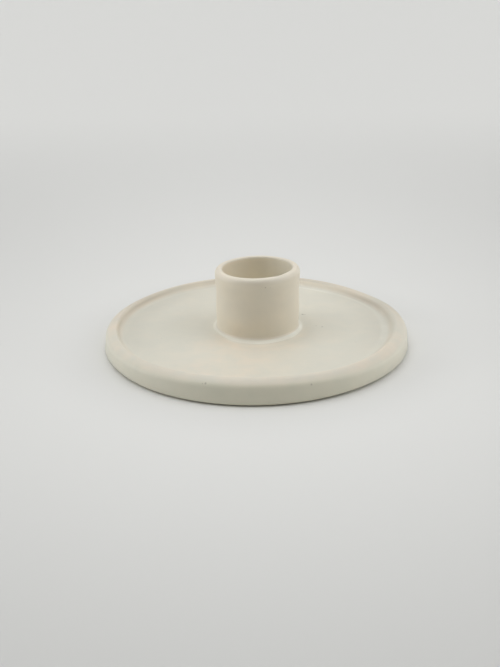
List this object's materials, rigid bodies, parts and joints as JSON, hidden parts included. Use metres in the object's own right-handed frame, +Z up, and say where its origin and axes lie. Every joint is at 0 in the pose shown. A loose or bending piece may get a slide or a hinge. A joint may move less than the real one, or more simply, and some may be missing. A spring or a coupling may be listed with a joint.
{
  "type": "candle holder",
  "caption": "Low round ceramic candle holder: a shallow drip dish with a soft rounded rim and a short open cup in the middle that takes a dinner candle.",
  "frame": {"origin": "on the table, under the axis of the candle cup, at the middle of the standing ring", "axes": "+Z up along the axis of the candle cup; the shape is turned, so X and Y are free"},
  "size_m": [0.1, 0.1, 0.0256],
  "materials": {
    "glaze": "satin off-white glaze over light stoneware"
  },
  "bodies": {
    "root": {"base_slab": "glaze", "rim_coil": "glaze", "candle_cup": "glaze", "cup_luting_bead": "glaze"}
  },
  "joints": []
}
